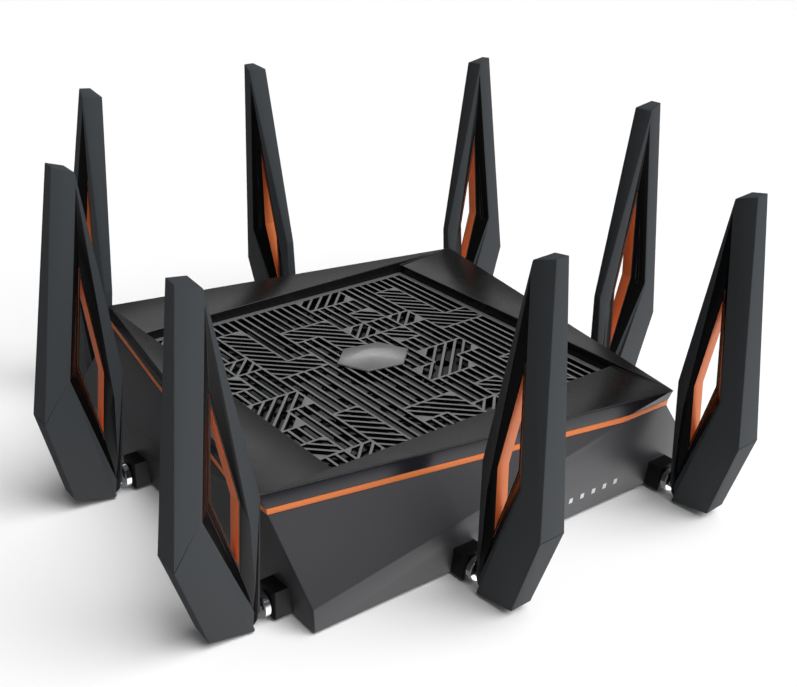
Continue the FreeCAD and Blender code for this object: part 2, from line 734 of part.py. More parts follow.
def make_heatsink():
    body = new_body("heatsink")
    low = "sizes.board_bottom + sizes.board_thick + sizes.chip_height"
    base = new_sketch(body, "sink_outline", offset=low)
    add_rectangle(base, "-sizes.sink_length / 2", "-sizes.sink_width / 2",
                  "sizes.sink_length / 2", "sizes.sink_width / 2")
    pad(body, base, "sink_base_pad", "sizes.sink_base")
    fin = new_sketch(body, "fin_outline", offset=f"{low} + sizes.sink_base")
    row = "(sizes.fin_pitch * (sizes.fin_count - 1) / 2)"
    add_rectangle(fin, "-sizes.sink_length / 2", f"-{row}", "sizes.sink_length / 2",
                  f"sizes.fin_thick - {row}")
    fin_pad = pad(body, fin, "fin", "sizes.fin_height")
    repeat(body, fin_pad, "fin_row", (fin, ["V_Axis"]), f"2 * {row}", "sizes.fin_count")
    turn_with_base(body)


def make_board_parts():
    turn = Placement(Vector(), Rotation(UP, size("base_turn_deg")))
    top = size("board_bottom") + size("board_thick")
    chip = Part.makeBox(34, 34, size("chip_height"), Vector(-17, -17, top))
    add_part("processor", chip, turn)
    cans = []
    length, width = size("can_length"), size("can_width")
    gap = 6
    for x, y in ((0, 1), (0, -1), (1, 1), (-1, 1), (1, -1), (-1, -1)):
        middle = Vector(x * (size("sink_length") / 2 + gap), 0, 0)
        low = Vector(x * (length + gap) - length / 2,
                     y * (size("sink_width") / 2 + gap + width / 2) - width / 2, top)
        can = Part.makeBox(length, width, size("can_height"), low)
        upper = [e for e in can.Edges if e.CenterOfMass.z > top + size("can_height") - 0.01]
        cans.append(can.makeFillet(0.8, upper))
    ring_of("shield_cans", cans, turn)


# ---------------------------------------------------------------- sockets

def box_part(label, out, along, low, depth, width, height):
    """A Part::Box of a side frame, its six sizes given as expressions."""
    box = doc.addObject("Part::Box", label)
    box.Label = label
    for name, expression in (("Length", depth), ("Width", width), ("Height", height),
                             ("Placement.Base.x", out), ("Placement.Base.y", along),
                             ("Placement.Base.z", low)):
        box.setExpression(name, expression)
    return box


def cut_parts(label, base, tools, side):
    """Cut a list of tools from a base and put the result on a side of the body."""
    tool = tools[0]
    if len(tools) > 1:
        tool = doc.addObject("Part::MultiFuse", label + "_tools")
        tool.Shapes = tools
    cut = doc.addObject("Part::Cut", label)
    cut.Label = label
    cut.Base = base
    cut.Tool = tool
    cut.Placement = side_frame(side)
    doc.recompute()
    SUB_PARTS.append(cut)
    return cut


BOARD_TOP = "sizes.board_bottom + sizes.board_thick"


def make_network_jacks():
    """Two housings on the board edge: one with four sockets in a row and one with a single."""
    for label, count, first in (("lan_jacks", "sizes.lan_count", "sizes.lan_first"),
                                ("wan_jack", "1", "sizes.wan_along")):
        block = box_part(label + "_block", "(sizes.base_half + sizes.jack_face) - sizes.jack_depth",
                         f"{first} - sizes.jack_width / 2", BOARD_TOP, "sizes.jack_depth",
                         f"sizes.jack_width * {count}", "sizes.jack_height")
        number = int(size("lan_count")) if label == "lan_jacks" else 1
        mouths = []
        for index in range(number):
            mouths.append(box_part(
                f"{label}_mouth_{index}", "(sizes.base_half + sizes.jack_face) - sizes.plug_depth",
                f"{first} + {index} * sizes.jack_width - sizes.plug_width / 2",
                f"{BOARD_TOP} + sizes.plug_floor", "sizes.plug_depth + 1", "sizes.plug_width",
                "sizes.plug_height"))
            mouths.append(box_part(
                f"{label}_latch_{index}", "(sizes.base_half + sizes.jack_face) - sizes.plug_depth",
                f"{first} + {index} * sizes.jack_width - sizes.plug_width / 4",
                f"{BOARD_TOP} + sizes.plug_floor + sizes.plug_height - 0.1",
                "sizes.plug_depth + 1", "sizes.plug_width / 2", "1.9"))
        cut_parts(label, block, mouths, 2)


def make_usb_jacks():
    """Two socket housings, each with a tongue inside its mouth."""
    top = size("board_bottom") + size("board_thick")
    face, depth = from_wall("jack_face"), size("jack_depth")
    jacks = []
    for index in range(2):
        along = size("usb_first") + index * size("usb_pitch")
        block = centred_box(face - depth, face, along, size("usb_width"), top,
                            top + size("usb_height"))
        low = top + (size("usb_height") - size("usb_mouth_height")) / 2
        mouth = centred_box(face - size("usb_depth"), face + 1, along, size("usb_mouth_width"),
                            low, low + size("usb_mouth_height"))
        tongue = centred_box(face - size("usb_depth"), face - 1, along,
                             size("usb_mouth_width") - 1.6, low + 0.4,
                             low + 0.4 + size("usb_tongue"))
        jacks.append(block.cut(mouth).fuse(tongue))
    ring_of("usb_jacks", jacks, side_frame(2))


def make_power_inlet():
    top = size("board_bottom") + size("board_thick")
    face = from_wall("jack_face")
    block = centred_box(face - size("jack_depth"), face, size("inlet_along"),
                        size("inlet_width"), top, top + size("inlet_height"))
    middle = Vector(face - 10, size("inlet_along"), top + size("inlet_height") / 2)
    hole = rod(size("inlet_hole"), middle, Vector(1, 0, 0), 11)
    pin = rod(size("inlet_pin"), middle, Vector(1, 0, 0), 8.5)
    add_part("power_inlet", block.cut(hole).fuse(pin), side_frame(2))


# ---------------------------------------------------------------- push buttons

def make_keys():
    """Each button is a rounded cap on a stem, pushed straight into its wall."""
    for label, (side, along, width) in key_places().items():
        proud = size("reset_proud") if label == "reset_button" else size("key_proud")
        body = new_body(label)
        outline = new_sketch(body, label + "_outline", "YZ_Plane")
        name = label.split("_")[0]
        half = "sizes.reset_width / 2" if name == "reset" else "sizes.key_width / 2"
        add_rectangle(outline, f"sizes.{name}_along - {half}",
                      "sizes.key_level - sizes.key_height / 2", f"sizes.{name}_along + {half}",
                      "sizes.key_level + sizes.key_height / 2")
        rise = "sizes.reset_proud" if name == "reset" else "sizes.key_proud"
        face = ("sizes.base_half + tan(sizes.wall_lean_deg * 1 deg) * sizes.key_level"
                f" + {rise}")
        outline.setExpression("AttachmentOffset.Base.z", f"{face} - sizes.key_depth")
        cap = pad(body, outline, label + "_cap", "sizes.key_depth")
        outer = wall_at(size("key_level")) + proud
        fillet = body.newObject("PartDesign::Fillet", label + "_edge")
        names = [f"Edge{i + 1}" for i, e in enumerate(cap.Shape.Edges)
                 if abs(e.CenterOfMass.x - outer) < 0.01]
        fillet.Base = (cap, names)
        fillet.setExpression("Radius", "sizes.key_corner")
        body.Tip = fillet
        doc.recompute()
        body.Placement = side_frame(side)


# ---------------------------------------------------------------- indicators

def make_indicators():
    lenses = []
    for index in range(int(size("lens_count"))):
        lenses.append(placed(lens_block(), lens_placement(index)))
    ring_of("indicator_lenses", lenses, None)

    level = size("lens_level")
    span = size("lens_pitch") * (size("lens_count") - 1)
    middle = size("lens_first") + span / 2
    out = wall_at(level) - size("lens_depth") - 3.4
    half = size("led_board_height") / 2
    board = centred_box(out - size("led_board_thick"), out, middle, span + 16,
                        level - half, level + half)
    lamps = [centred_box(out, out + 1.0, size("lens_first") + index * size("lens_pitch"), 2.0,
                         level - 1, level + 1) for index in range(int(size("lens_count")))]
    add_part("indicator_board", board.fuse(lamps), side_frame(0))


# ---------------------------------------------------------------- antennas

def make_antenna_sockets():
    """Eight threaded barrels, each with a fixing nut on the inside of its arm's wall."""
    barrels = []
    for side in range(4):
        frame = side_frame(side)
        for along in arm_places().values():
            start = Vector(from_wall("barrel_inner"), along, size("axis_height"))
            barrel = rod(size("barrel_radius"), start, Vector(1, 0, 0),
                         from_wall("barrel_outer") - from_wall("barrel_inner"))
            nut_out = size("base_half") - size("shell_wall") - size("fit_gap")
            nut_start = Vector(nut_out - size("nut_thick"), along, size("axis_height"))
            nut = hexagon_bar(size("nut_radius"), nut_start, size("nut_thick"))
            barrels.append(placed(barrel.fuse(nut), frame))
    ring_of("antenna_sockets", barrels, None)


def hexagon_bar(radius, start, length):
    """A six-sided bar that points along X."""
    ring = [start + Vector(0, radius * math.cos(a), radius * math.sin(a))
            for a in (math.radians(60 * index) for index in range(6))]
    return Part.Face(Part.makePolygon(ring + ring[:1])).extrude(Vector(length, 0, 0))


def blade_outline():
    """Side view of a blade as (out, up), from the outer tip corner round to the inner one."""
    return [
        (size("tip_outer"), size("blade_tip")), (size("kink_outer"), size("kink_height")),
        (size("foot_outer"), size("foot_lift")), (size("foot_inner"), size("blade_bottom")),
        (0.0, size("axis_height")), (0.0, size("strut_kink")),
        (size("tip_inner"), size("blade_tip") - size("tip_drop")),
    ]


def window_outline():
    return [
        (size("window_top_out"), size("window_top")),
        (size("window_bend_out"), size("window_bend")),
        (size("window_inner"), size("window_bottom")),
        (size("window_inner"), size("window_inner_bend")),
    ]


def face_plane(first, second, third):
    """The plane through three (out, up, half thickness) points of a blade's +Y face."""
    points = [Vector(out, half, up) for out, up, half in (first, second, third)]
    normal = (points[1] - points[0]).cross(points[2] - points[0])
    if normal.y < 0:
        normal = normal * -1
    return normal, points[0]


def edge_planes(outline, margin=0.0):
    """Upright planes through the edges of a blade outline, facing outwards."""
    planes = []
    middle_out = sum(p[0] for p in outline) / len(outline)
    middle_up = sum(p[1] for p in outline) / len(outline)
    for (x0, z0), (x1, z1) in zip(outline, outline[1:] + outline[:1]):
        normal = Vector(z0 - z1, 0, x1 - x0).normalize()
        if normal.dot(Vector(middle_out - x0, 0, middle_up - z0)) > 0:
            normal = normal * -1
        planes.append((normal, Vector(x0, 0, z0) - normal * margin))
    return planes


def blade_faces():
    """The upper facet, the lower facet and the strut facet of the +Y side."""
    tip_outer = (size("tip_outer"), size("blade_tip"), size("tip_outer_half"))
    tip_inner = (size("tip_inner"), size("blade_tip") - size("tip_drop"), size("tip_inner_half"))
    crease = (size("crease_out"), size("crease_up"), size("crease_half"))
    kink = (size("kink_outer"), size("kink_height"), size("kink_half"))
    foot = (size("foot_outer"), size("foot_lift"), size("foot_half"))
    strut = (0.0, size("strut_kink"), size("strut_half"))
    return (face_plane(tip_outer, tip_inner, crease), face_plane(crease, kink, foot),
            face_plane(tip_inner, crease, strut))


def half_blade():
    """The +Y half of a blade, before the hinge is cut out of it."""
    upper, lower, strut = blade_faces()
    outline = blade_outline()
    seam = [(Vector(0, -1, 0), Vector(0, size("seam_gap"), 0))]
    blank = convex_solid(edge_planes(outline) + [upper, lower] + seam)
    crease = (size("crease_out"), size("crease_up"))
    strut_side = [
        (size("tip_inner"), size("blade_tip") - size("tip_drop")), crease,
        (size("foot_inner"), size("blade_bottom")),
    ]
    reach = 60.0
    recess = convex_solid(
        edge_planes([strut_side[0], crease, (-reach, crease[1])])[:1]
        + edge_planes([crease, strut_side[2], (-reach, crease[1])])[:1]
        + [(strut[0] * -1, strut[1]), (Vector(0, 1, 0), Vector(0, reach, 0)),
           (Vector(-1, 0, 0), Vector(-1, 0, 0)), (UP, Vector(0, 0, 2 * size("blade_tip"))),
           (UP * -1, Vector(0, 0, -reach))])
    blank = blank.cut(recess)

    window = window_outline()
    slopes = [size(name) for name in ("bevel_outer", "bevel_lower", "bevel_inner",
                                      "bevel_upper")]
    bevels = []
    for (normal, point), slope in zip(edge_planes(window), slopes):
        tilt = math.radians(slope)
        bevels.append((normal * math.cos(tilt) * math.tan(tilt) - Vector(0, math.cos(tilt), 0),
                       point + Vector(0, size("window_half"), 0)))
    pocket = convex_solid(bevels + [(Vector(0, 1, 0), Vector(0, 12, 0)),
                                    (Vector(0, -1, 0), Vector(0, size("window_half"), 0))])
    blank = blank.cut(pocket).cut(blade_prism(window, reach))

    wall = size("blade_wall")
    outer_bar = edge_planes(window, -wall)[0]
    skins = [(face[0], face[1] - Vector(face[0]).normalize() * wall)
             for face in (upper, lower, strut)]
    hollow = convex_solid(edge_planes(outline, wall) + skins + [
        (outer_bar[0] * -1, outer_bar[1]), (Vector(0, -1, 0), Vector()),
        (UP * -1, Vector(0, 0, size("kink_height")))])
    return blank.cut(hollow)


def hinge_space():
    """What the blade leaves free round the tongue and the pin of its hinge."""
    gap = size("blade_gap")
    pivot = Vector(size("pivot_in"), 0, size("axis_height"))
    half = size("tongue_thick") / 2 + gap
    disc = rod(size("tongue_radius") + gap, pivot - Vector(0, half, 0), Vector(0, 1, 0), 2 * half)
    rise = size("tongue_height") / 2 + gap + size("pivot_in") * math.tan(math.radians(13))
    way_in = Part.makeBox(size("pivot_in") + 1, 2 * half, 2 * rise,
                          pivot + Vector(-size("pivot_in") - 1, -half, -rise))
    bore = rod(size("pin_radius") + size("turn_gap"), pivot - Vector(0, size("pin_length") / 2
               + gap, 0), Vector(0, 1, 0), size("pin_length") + 2 * gap)
    return disc.fuse([way_in, bore])


def round_foot():
    """Rounds the lower inner corner of the blade about its hinge."""
    pivot = Vector(size("pivot_in"), -20, size("axis_height"))
    corner = Part.makeBox(size("pivot_in") + 1, 40, size("axis_height") + 10,
                          Vector(-1, -20, -10))
    return corner.cut(rod(size("pivot_in"), pivot, Vector(0, 1, 0), 40))


def make_swivel_shape():
    """Collar that turns on the barrel, with the tongue and pin that carry the blade."""
    start = from_wall("arm_reach") + size("collar_gap")
    axis = Vector(start, 0, size("axis_height"))
    collar = rod(size("collar_radius"), axis, Vector(1, 0, 0), size("collar_length"))
    rims = [e for e in collar.Edges if e.Closed and len(e.Vertexes) == 1]
    collar = collar.makeChamfer(0.5, rims)
    bore = rod(size("barrel_radius") + size("turn_gap"), axis - Vector(1, 0, 0),
               Vector(1, 0, 0), from_wall("barrel_outer") + 0.2 - start + 1)
    half = size("tongue_thick") / 2
    pivot = Vector(from_wall("pivot_reach"), 0, size("axis_height"))
    tongue_start = start + size("collar_length") - 0.4
    tongue = Part.makeBox(pivot.x - tongue_start, 2 * half, size("tongue_height"),
                          Vector(tongue_start, -half,
                                 size("axis_height") - size("tongue_height") / 2))
    disc = rod(size("tongue_radius"), pivot - Vector(0, half, 0), Vector(0, 1, 0), 2 * half)
    pin = rod(size("pin_radius"), pivot - Vector(0, size("pin_length") / 2, 0),
              Vector(0, 1, 0), size("pin_length"))
    return collar.cut(bore).fuse([tongue, disc, pin]).removeSplitter()


def make_lining_shape():
    outline = inset(window_outline(), size("turn_gap"))
    ring = blade_prism(outline, size("lining_half"))
    return ring.cut(blade_prism(inset(outline, size("lining_wall")), 20))


def centred_on_hinge(shape):
    """Moves a blade shape so that the crossing of its two hinge axes is at the origin."""
    moved = shape.copy()
    moved.translate(Vector(-size("pivot_in"), 0, -size("axis_height")))
    return moved


def make_antennas():
    right = half_blade().cut(round_foot()).cut(hinge_space())
    left = right.mirror(Vector(), Vector(0, 1, 0))
    lining = make_lining_shape()
    blade_shapes = {name: centred_on_hinge(shape) for name, shape in
                    (("right_shell", right), ("left_shell", left), ("lining", lining))}
    swivel = make_swivel_shape()
    swivel.translate(Vector(-from_wall("pivot_reach"), 0, -size("axis_height")))
    for side, side_name in enumerate(SIDES):
        for level, along in arm_places().items():
            name = f"{side_name}_{level}"
            hinge = Placement(Vector(from_wall("pivot_reach"), along, size("axis_height")),
                              Rotation())
            lean = Placement(Vector(), Rotation(Vector(1, 0, 0), -size(f"{name}_side_lean")))
            tilt = Placement(Vector(), Rotation(Vector(0, 1, 0), size(f"{name}_out_lean")))
            at_swivel = side_frame(side).multiply(hinge).multiply(lean)
            add_part(f"antenna_{name}_swivel", swivel.copy(), at_swivel)
            for part_name, shape in blade_shapes.items():
                add_part(f"antenna_{name}_{part_name}", shape.copy(), at_swivel.multiply(tilt))


# ---------------------------------------------------------------- build, check and write

def check_everything():
    """Stop if anything in the document failed or a sub-part has no sound shape."""
    doc.recompute()
    failed = [o.Name for o in doc.Objects if {"Invalid", "Error"} & set(o.State)]
    if failed:
        raise SystemExit(f"failed objects: {failed}")
    for part in SUB_PARTS:
        shape = part.Shape
        if shape.isNull() or not shape.isValid() or not shape.Solids:
            raise SystemExit(f"{part.Label} has no sound solid")


def write_steps():
    os.makedirs("parts", exist_ok=True)
    for part in SUB_PARTS:
        part.Shape.exportStep(f"parts/{part.Label}.step")
    print(len(SUB_PARTS), "sub-parts written")


def main():
    make_lower_shell()
    make_accent_strip()
    make_band_and_cover()
    make_grille()
    make_badge()
    make_base_plate()
    make_feet_and_screws()
    make_main_board()
    make_heatsink()
    make_board_parts()
    make_network_jacks()
    make_usb_jacks()
    make_power_inlet()
    make_keys()
    make_indicators()
    make_antenna_sockets()
    make_antennas()
    check_everything()
    write_steps()


main()
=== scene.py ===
"""Looks for a square desktop wireless router with eight blade antennas.

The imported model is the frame.  Each class below dresses one sub-assembly: it rounds the long
edges of the mouldings, adds the small parts that the frame leaves plain, and gives every piece a
node-based finish.  All lengths are in metres.
"""
import json
import logging
import math
from dataclasses import dataclass, field
from enum import Enum

import bmesh
import bpy
from mathutils import Matrix, Vector
from mathutils.kdtree import KDTree


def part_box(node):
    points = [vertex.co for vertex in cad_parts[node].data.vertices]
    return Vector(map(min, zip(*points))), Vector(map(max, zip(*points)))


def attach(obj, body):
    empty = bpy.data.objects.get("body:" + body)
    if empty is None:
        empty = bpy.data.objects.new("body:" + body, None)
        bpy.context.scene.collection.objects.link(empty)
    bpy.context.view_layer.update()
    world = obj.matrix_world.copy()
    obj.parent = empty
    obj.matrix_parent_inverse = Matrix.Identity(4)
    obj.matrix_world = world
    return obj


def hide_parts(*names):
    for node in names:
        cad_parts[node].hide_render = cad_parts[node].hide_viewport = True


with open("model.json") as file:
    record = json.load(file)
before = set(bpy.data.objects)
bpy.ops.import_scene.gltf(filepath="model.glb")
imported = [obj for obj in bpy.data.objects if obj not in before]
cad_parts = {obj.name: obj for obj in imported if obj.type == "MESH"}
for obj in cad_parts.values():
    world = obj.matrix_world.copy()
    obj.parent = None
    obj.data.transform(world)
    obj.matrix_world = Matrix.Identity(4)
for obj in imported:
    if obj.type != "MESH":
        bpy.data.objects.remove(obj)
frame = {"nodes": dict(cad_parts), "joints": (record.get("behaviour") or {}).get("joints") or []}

LOG = logging.getLogger("router")
MM = 0.001
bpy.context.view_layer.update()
Colour = tuple[float, float, float]
Point = tuple[float, float, float]
WELD_REACH = 0.003 * MM
FLAT_ANGLE = math.radians(0.4)
CREASE_ANGLE = math.radians(32)
WHITE = (1.0, 1.0, 1.0, 1.0)


# ---------------------------------------------------------------- shared shader effects

class Effect(Enum):
    """Names of the shader node groups that several finishes share."""

    GRAIN = "moulded_grain"
    EDGE = "painted_edge_highlight"
    CLOUD = "slow_variation"
    BRUSH = "brushed_lines"


def new_group(effect: Effect, inputs: dict[str, float], output: str) -> bpy.types.NodeTree:
    """Start a shader node group with named value sockets.

    Args:
        effect: Which effect the group is for.
        inputs: Names of the value inputs with their defaults.
        output: Name of the one value output.

    Returns:
        The empty group, with its input and output nodes in place.
    """
    tree = bpy.data.node_groups.new(effect.value, "ShaderNodeTree")
    for name, default in inputs.items():
        socket = tree.interface.new_socket(name, in_out="INPUT", socket_type="NodeSocketFloat")
        socket.default_value = default
    tree.interface.new_socket(output, in_out="OUTPUT", socket_type="NodeSocketFloat")
    tree.nodes.new("NodeGroupInput")
    tree.nodes.new("NodeGroupOutput")
    return tree


def math_node(tree: bpy.types.NodeTree, operation: str, first: object, second: object,
              clamp: bool = False) -> bpy.types.NodeSocket:
    """Add a Math node and return its output.

    Args:
        tree: The tree that gets the node.
        operation: Blender's name of the operation.
        first: A socket, or a number.
        second: A socket, or a number.
        clamp: Whether the result is kept between 0 and 1.

    Returns:
        The result socket.
    """
    node = tree.nodes.new("ShaderNodeMath")
    node.operation = operation
    node.use_clamp = clamp
    for index, value in enumerate((first, second)):
        if isinstance(value, bpy.types.NodeSocket):
            tree.links.new(value, node.inputs[index])
        else:
            node.inputs[index].default_value = value
    return node.outputs[0]


def grain_group() -> bpy.types.NodeTree:
    """Fine spark-eroded texture of a moulding.

    Returns:
        A group from Scale to Height.
    """
    tree = new_group(Effect.GRAIN, {"Scale": 1500.0, "Coarse": 0.35}, "Height")
    given = tree.nodes["Group Input"].outputs
    place = tree.nodes.new("ShaderNodeTexCoord")
    cells = tree.nodes.new("ShaderNodeTexVoronoi")
    cells.feature = "SMOOTH_F1"
    noise = tree.nodes.new("ShaderNodeTexNoise")
    noise.inputs["Detail"].default_value = 3.0
    for node in (cells, noise):
        tree.links.new(place.outputs["Object"], node.inputs["Vector"])
    tree.links.new(given["Scale"], cells.inputs["Scale"])
    tree.links.new(math_node(tree, "MULTIPLY", given["Scale"], given["Coarse"]),
                   noise.inputs["Scale"])
    height = math_node(tree, "ADD", cells.outputs["Distance"], noise.outputs["Fac"])
    tree.links.new(height, tree.nodes["Group Output"].inputs["Height"])
    return tree


def edge_highlight_group() -> bpy.types.NodeTree:
    """Mask of the outer edges, where a painted highlight lightens a moulding.

    Returns:
        A group from Radius and Gain to Mask.
    """
    tree = new_group(Effect.EDGE, {"Radius": 0.8 * MM, "Gain": 5.0}, "Mask")
    given = tree.nodes["Group Input"].outputs
    bevel = tree.nodes.new("ShaderNodeBevel")
    bevel.samples = 6
    surface = tree.nodes.new("ShaderNodeNewGeometry")
    dot = tree.nodes.new("ShaderNodeVectorMath")
    dot.operation = "DOT_PRODUCT"
    tree.links.new(given["Radius"], bevel.inputs["Radius"])
    tree.links.new(bevel.outputs["Normal"], dot.inputs[0])
    tree.links.new(surface.outputs["True Normal"], dot.inputs[1])
    # painted highlight: the mask rises where the bevelled normal turns away from the true normal,
    # along every edge
    apart = math_node(tree, "SUBTRACT", 1.0, dot.outputs["Value"])
    mask = math_node(tree, "MULTIPLY", apart, given["Gain"], clamp=True)
    tree.links.new(mask, tree.nodes["Group Output"].inputs["Mask"])
    return tree


def cloud_group() -> bpy.types.NodeTree:
    """Slow, faint variation, such as a moulding's flow or a thin film of dust.

    Returns:
        A group from Scale, Low and High to Value.
    """
    tree = new_group(Effect.CLOUD, {"Scale": 30.0, "Low": 0.4, "High": 0.5}, "Value")
    given = tree.nodes["Group Input"].outputs
    place = tree.nodes.new("ShaderNodeTexCoord")
    noise = tree.nodes.new("ShaderNodeTexNoise")
    noise.inputs["Detail"].default_value = 4.0
    spread = tree.nodes.new("ShaderNodeMapRange")
    tree.links.new(place.outputs["Object"], noise.inputs["Vector"])
    tree.links.new(given["Scale"], noise.inputs["Scale"])
    tree.links.new(noise.outputs["Fac"], spread.inputs["Value"])
    spread.inputs["From Min"].default_value = 0.3
    spread.inputs["From Max"].default_value = 0.7
    tree.links.new(given["Low"], spread.inputs["To Min"])
    tree.links.new(given["High"], spread.inputs["To Max"])
    tree.links.new(spread.outputs["Result"], tree.nodes["Group Output"].inputs["Value"])
    return tree


def brush_group() -> bpy.types.NodeTree:
    """Fine lines left by brushing or turning metal.

    Returns:
        A group from Scale to Height.
    """
    tree = new_group(Effect.BRUSH, {"Scale": 4000.0}, "Height")
    given = tree.nodes["Group Input"].outputs
    place = tree.nodes.new("ShaderNodeTexCoord")
    stretch = tree.nodes.new("ShaderNodeMapping")
    stretch.inputs["Scale"].default_value = (0.02, 1.0, 1.0)
    noise = tree.nodes.new("ShaderNodeTexNoise")
    tree.links.new(place.outputs["Object"], stretch.inputs["Vector"])
    tree.links.new(stretch.outputs["Vector"], noise.inputs["Vector"])
    tree.links.new(given["Scale"], noise.inputs["Scale"])
    tree.links.new(noise.outputs["Fac"], tree.nodes["Group Output"].inputs["Height"])
    return tree


BUILDERS = {Effect.GRAIN: grain_group, Effect.EDGE: edge_highlight_group, Effect.CLOUD: cloud_group,
            Effect.BRUSH: brush_group}


def use_effect(tree: bpy.types.NodeTree, effect: Effect, **values: float) -> bpy.types.Node:
    """Place a shared effect in a material, building its group the first time.

    Args:
        tree: The material's node tree.
        effect: Which effect.
        values: The group's inputs by name.

    Returns:
        The group node.
    """
    group = bpy.data.node_groups.get(effect.value) or BUILDERS[effect]()
    node = tree.nodes.new("ShaderNodeGroup")
    node.node_tree = group
    for name, value in values.items():
        node.inputs[name].default_value = value
    return node


def mix_colours(tree: bpy.types.NodeTree, mask: bpy.types.NodeSocket, first: Colour,
                second: Colour) -> bpy.types.NodeSocket:
    """Mix two colours by a mask.

    Args:
        tree: The material's node tree.
        mask: 0 gives the first colour and 1 the second.
        first: Linear red, green and blue.
        second: Linear red, green and blue.

    Returns:
        The colour socket.
    """
    mix = tree.nodes.new("ShaderNodeMix")
    mix.data_type = "RGBA"
    mix.inputs["A"].default_value = (*first, 1.0)
    mix.inputs["B"].default_value = (*second, 1.0)
    tree.links.new(mask, mix.inputs["Factor"])
    return mix.outputs["Result"]


def add_bump(tree: bpy.types.NodeTree, height: bpy.types.NodeSocket, depth: float) -> None:
    """Feed a height into the shader's Normal through a Bump node.

    Args:
        tree: The material's node tree.
        height: Height socket, about 0 to 1.
        depth: Metres of relief for a height of 1.
    """
    bump = tree.nodes.new("ShaderNodeBump")
    bump.inputs["Distance"].default_value = depth
    tree.links.new(height, bump.inputs["Height"])
    tree.links.new(bump.outputs["Normal"], tree.nodes["Principled BSDF"].inputs["Normal"])


def new_material(name: str) -> bpy.types.Material:
    """Start a material with the default shader nodes.

    Args:
        name: Name of the material.

    Returns:
        The material.
    """
    material = bpy.data.materials.new(name)
    material.use_nodes = True
    return material


# ---------------------------------------------------------------- finishes

@dataclass(frozen=True)
class MouldedPlastic:
    """Textured or polished plastic, with a painted highlight that lightens its edges."""

    name: str
    colour: Colour
    edge_highlight_colour: Colour
    roughness: tuple[float, float]
    grain_scale: float = 1500.0
    grain_depth: float = 0.02 * MM
    specular: float = 0.5
    coat: float = 0.0
    coat_roughness: float = 0.1
    cloud_scale: float = 45.0

    def build(self) -> bpy.types.Material:
        """Build the node material.

        Returns:
            The material.
        """
        material = new_material(self.name)
        tree = material.node_tree
        shader = tree.nodes["Principled BSDF"]
        # painted highlight: the edges are mixed towards the lighter second colour
        edge = use_effect(tree, Effect.EDGE)
        colour = mix_colours(tree, edge.outputs["Mask"], self.colour, self.edge_highlight_colour)
        tree.links.new(colour, shader.inputs["Base Color"])
        low, high = self.roughness
        cloud = use_effect(tree, Effect.CLOUD, Scale=self.cloud_scale, Low=low, High=high)
        tree.links.new(cloud.outputs["Value"], shader.inputs["Roughness"])
        grain = use_effect(tree, Effect.GRAIN, Scale=self.grain_scale)
        add_bump(tree, grain.outputs["Height"], self.grain_depth)
        shader.inputs["Specular IOR Level"].default_value = self.specular
        shader.inputs["Coat Weight"].default_value = self.coat
        shader.inputs["Coat Roughness"].default_value = self.coat_roughness
        return material


@dataclass(frozen=True)
class Metal:
    """Bare, plated or lacquered metal, with a painted highlight that lightens its edges."""

    name: str
    colour: Colour
    edge_highlight_colour: Colour
    roughness: tuple[float, float]
    metallic: float = 1.0
    line_depth: float = 0.004 * MM
    coat: float = 0.0
    cloud_scale: float = 90.0
    edge_radius: float = 0.4 * MM

    def build(self) -> bpy.types.Material:
        """Build the node material.

        Returns:
            The material.
        """
        material = new_material(self.name)
        tree = material.node_tree
        shader = tree.nodes["Principled BSDF"]
        # painted highlight: the edges are mixed towards the lighter second colour
        edge = use_effect(tree, Effect.EDGE, Radius=self.edge_radius)
        colour = mix_colours(tree, edge.outputs["Mask"], self.colour, self.edge_highlight_colour)
        tree.links.new(colour, shader.inputs["Base Color"])
        low, high = self.roughness
        cloud = use_effect(tree, Effect.CLOUD, Scale=self.cloud_scale, Low=low, High=high)
        tree.links.new(cloud.outputs["Value"], shader.inputs["Roughness"])
        brush = use_effect(tree, Effect.BRUSH)
        add_bump(tree, brush.outputs["Height"], self.line_depth)
        shader.inputs["Metallic"].default_value = self.metallic
        shader.inputs["Coat Weight"].default_value = self.coat
        return material


@dataclass(frozen=True)
class BoardLaminate:
    """Solder mask over copper tracks."""

    name: str = "board_laminate"
    mask_colour: Colour = (0.006, 0.03, 0.014)
    track_colour: Colour = (0.012, 0.06, 0.028)
    track_scale: float = 90.0
    track_width: float = 0.06
    track_depth: float = 0.03 * MM
    roughness: float = 0.35

    def build(self) -> bpy.types.Material:
        """Build the node material.

        Returns:
            The material.
        """
        material = new_material(self.name)
        tree = material.node_tree
        shader = tree.nodes["Principled BSDF"]
        place = tree.nodes.new("ShaderNodeTexCoord")
        tracks = tree.nodes.new("ShaderNodeTexBrick")
        tracks.inputs["Scale"].default_value = self.track_scale
        tracks.inputs["Mortar Size"].default_value = self.track_width
        tree.links.new(place.outputs["Object"], tracks.inputs["Vector"])
        colour = mix_colours(tree, tracks.outputs["Fac"], self.mask_colour, self.track_colour)
        tree.links.new(colour, shader.inputs["Base Color"])
        add_bump(tree, tracks.outputs["Fac"], self.track_depth)
        shader.inputs["Roughness"].default_value = self.roughness
        return material


